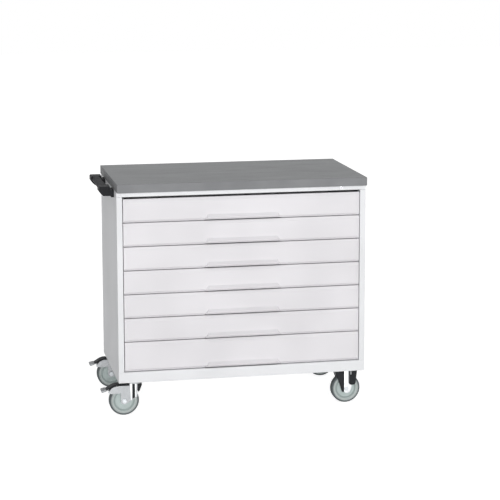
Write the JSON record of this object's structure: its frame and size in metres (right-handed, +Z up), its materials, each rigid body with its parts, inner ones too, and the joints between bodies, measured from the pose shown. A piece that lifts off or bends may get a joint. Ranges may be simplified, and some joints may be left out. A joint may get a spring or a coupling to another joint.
{
  "type": "workbench with drawers",
  "caption": "Mobile steel drawer bench: laminated worktop, stacked full-width drawers on telescopic runners, central lock, push handle at one end, braked swivel castors and fixed castors.",
  "frame": {"origin": "on the floor, under the middle of the bounding box", "axes": "+X along the bench from the handle end to the lock end, -Y the side the drawers open to, +Z up"},
  "size_m": [1.12, 0.6, 0.98],
  "materials": {
    "worktop_core": "raw board",
    "worktop_laminate": "fine texture",
    "worktop_edge": "satin",
    "grey_paint": "semi-gloss",
    "front_paint": "semi-gloss",
    "zinc_steel": "satin",
    "chrome_lock": "polished",
    "black_plastic": "fine texture",
    "grip_plastic": "satin",
    "wheel_plastic": "satin",
    "tyre_rubber": "matte"
  },
  "bodies": {
    "cabinet": {"worktop_board": "worktop_core", "worktop_surface": "worktop_laminate", "worktop_edging": "worktop_edge", "side_panel_left": "grey_paint", "side_panel_right": "grey_paint", "back_panel": "grey_paint", "base_tray": "grey_paint", "top_rail": "grey_paint", "rear_top_rail": "grey_paint", "runner_uprights": "zinc_steel", "cabinet_runners": "zinc_steel", "handle_bar": "grip_plastic", "handle_brackets": "black_plastic", "assembly_screws": "zinc_steel", "castor_bolts": "zinc_steel", "swivel_plates": "zinc_steel", "kingpins": "zinc_steel", "fixed_forks": "zinc_steel", "fixed_axles": "zinc_steel", "lock_housing": "chrome_lock"},
    "drawer_1": {"drawer_front_1": "front_paint", "drawer_tray_1": "grey_paint"},
    "runners_1": {"middle_runners_1": "zinc_steel"},
    "drawer_2": {"drawer_front_2": "front_paint", "drawer_tray_2": "grey_paint"},
    "runners_2": {"middle_runners_2": "zinc_steel"},
    "drawer_3": {"drawer_front_3": "front_paint", "drawer_tray_3": "grey_paint"},
    "runners_3": {"middle_runners_3": "zinc_steel"},
    "drawer_4": {"drawer_front_4": "front_paint", "drawer_tray_4": "grey_paint"},
    "runners_4": {"middle_runners_4": "zinc_steel"},
    "drawer_5": {"drawer_front_5": "front_paint", "drawer_tray_5": "grey_paint"},
    "runners_5": {"middle_runners_5": "zinc_steel"},
    "drawer_6": {"drawer_front_6": "front_paint", "drawer_tray_6": "grey_paint"},
    "runners_6": {"middle_runners_6": "zinc_steel"},
    "drawer_7": {"drawer_front_7": "front_paint", "drawer_tray_7": "grey_paint"},
    "runners_7": {"middle_runners_7": "zinc_steel"},
    "lock_plug": {"lock_plug": "chrome_lock", "lock_cam": "zinc_steel"},
    "lock_bar": {"lock_bar": "zinc_steel"},
    "swivel_front": {"swivel_fork_front": "zinc_steel", "swivel_axle_front": "zinc_steel", "castor_guard_front": "black_plastic"},
    "swivel_wheel_front": {"wheel_core_swivel_front": "wheel_plastic", "tyre_swivel_front": "tyre_rubber"},
    "brake_front": {"brake_pedal_front": "black_plastic"},
    "fixed_wheel_front": {"wheel_core_fixed_front": "wheel_plastic", "tyre_fixed_front": "tyre_rubber"},
    "swivel_rear": {"swivel_fork_rear": "zinc_steel", "swivel_axle_rear": "zinc_steel", "castor_guard_rear": "black_plastic"},
    "swivel_wheel_rear": {"wheel_core_swivel_rear": "wheel_plastic", "tyre_swivel_rear": "tyre_rubber"},
    "brake_rear": {"brake_pedal_rear": "black_plastic"},
    "fixed_wheel_rear": {"wheel_core_fixed_rear": "wheel_plastic", "tyre_fixed_rear": "tyre_rubber"}
  },
  "joints": [
    {"name": "drawer_1_slide", "type": "slide", "parent": "cabinet", "child": "drawer_1", "axis": [0, -1, 0], "range_m": [0, 0.48]},
    {"name": "runners_1_slide", "type": "slide", "parent": "cabinet", "child": "runners_1", "axis": [0, -1, 0], "range_m": [0, 0.24]},
    {"name": "drawer_2_slide", "type": "slide", "parent": "cabinet", "child": "drawer_2", "axis": [0, -1, 0], "range_m": [0, 0.48]},
    {"name": "runners_2_slide", "type": "slide", "parent": "cabinet", "child": "runners_2", "axis": [0, -1, 0], "range_m": [0, 0.24]},
    {"name": "drawer_3_slide", "type": "slide", "parent": "cabinet", "child": "drawer_3", "axis": [0, -1, 0], "range_m": [0, 0.48]},
    {"name": "runners_3_slide", "type": "slide", "parent": "cabinet", "child": "runners_3", "axis": [0, -1, 0], "range_m": [0, 0.24]},
    {"name": "drawer_4_slide", "type": "slide", "parent": "cabinet", "child": "drawer_4", "axis": [0, -1, 0], "range_m": [0, 0.48]},
    {"name": "runners_4_slide", "type": "slide", "parent": "cabinet", "child": "runners_4", "axis": [0, -1, 0], "range_m": [0, 0.24]},
    {"name": "drawer_5_slide", "type": "slide", "parent": "cabinet", "child": "drawer_5", "axis": [0, -1, 0], "range_m": [0, 0.48]},
    {"name": "runners_5_slide", "type": "slide", "parent": "cabinet", "child": "runners_5", "axis": [0, -1, 0], "range_m": [0, 0.24]},
    {"name": "drawer_6_slide", "type": "slide", "parent": "cabinet", "child": "drawer_6", "axis": [0, -1, 0], "range_m": [0, 0.48]},
    {"name": "runners_6_slide", "type": "slide", "parent": "cabinet", "child": "runners_6", "axis": [0, -1, 0], "range_m": [0, 0.24]},
    {"name": "drawer_7_slide", "type": "slide", "parent": "cabinet", "child": "drawer_7", "axis": [0, -1, 0], "range_m": [0, 0.48]},
    {"name": "runners_7_slide", "type": "slide", "parent": "cabinet", "child": "runners_7", "axis": [0, -1, 0], "range_m": [0, 0.24]},
    {"name": "lock_turn", "type": "hinge", "parent": "cabinet", "child": "lock_plug", "pos_m": [0.459, -0.275, 0.935], "axis": [0, -1, 0], "range_deg": [0, 90]},
    {"name": "lock_bar_lift", "type": "slide", "parent": "cabinet", "child": "lock_bar", "axis": [0, 0, 1], "range_m": [0, 0.01]},
    {"name": "castor_front_swivel", "type": "hinge", "parent": "cabinet", "child": "swivel_front", "pos_m": [-0.417, -0.227, 0.142], "axis": [0, 0, 1], "continuous": true},
    {"name": "swivel_wheel_front_roll", "type": "hinge", "parent": "swivel_front", "child": "swivel_wheel_front", "pos_m": [-0.465, -0.227, 0.0625], "axis": [0, 1, 0], "continuous": true},
    {"name": "brake_front_press", "type": "hinge", "parent": "swivel_front", "child": "brake_front", "pos_m": [-0.50698, -0.227, 0.11701], "axis": [0, -1, 0], "range_deg": [0, 10]},
    {"name": "fixed_wheel_front_roll", "type": "hinge", "parent": "cabinet", "child": "fixed_wheel_front", "pos_m": [0.487, -0.227, 0.0625], "axis": [0, 1, 0], "continuous": true},
    {"name": "castor_rear_swivel", "type": "hinge", "parent": "cabinet", "child": "swivel_rear", "pos_m": [-0.417, 0.227, 0.142], "axis": [0, 0, 1], "continuous": true},
    {"name": "swivel_wheel_rear_roll", "type": "hinge", "parent": "swivel_rear", "child": "swivel_wheel_rear", "pos_m": [-0.465, 0.227, 0.0625], "axis": [0, 1, 0], "continuous": true},
    {"name": "brake_rear_press", "type": "hinge", "parent": "swivel_rear", "child": "brake_rear", "pos_m": [-0.50698, 0.227, 0.11701], "axis": [0, -1, 0], "range_deg": [0, 10]},
    {"name": "fixed_wheel_rear_roll", "type": "hinge", "parent": "cabinet", "child": "fixed_wheel_rear", "pos_m": [0.487, 0.227, 0.0625], "axis": [0, 1, 0], "continuous": true}
  ],
  "couplings": [
    {"joint": "runners_1_slide", "follows": "drawer_1_slide", "ratio": 0.5},
    {"joint": "runners_2_slide", "follows": "drawer_2_slide", "ratio": 0.5},
    {"joint": "runners_3_slide", "follows": "drawer_3_slide", "ratio": 0.5},
    {"joint": "runners_4_slide", "follows": "drawer_4_slide", "ratio": 0.5},
    {"joint": "runners_5_slide", "follows": "drawer_5_slide", "ratio": 0.5},
    {"joint": "runners_6_slide", "follows": "drawer_6_slide", "ratio": 0.5},
    {"joint": "runners_7_slide", "follows": "drawer_7_slide", "ratio": 0.5},
    {"joint": "lock_turn", "follows": "lock_bar_lift", "rad_per_m": 157.08}
  ]
}
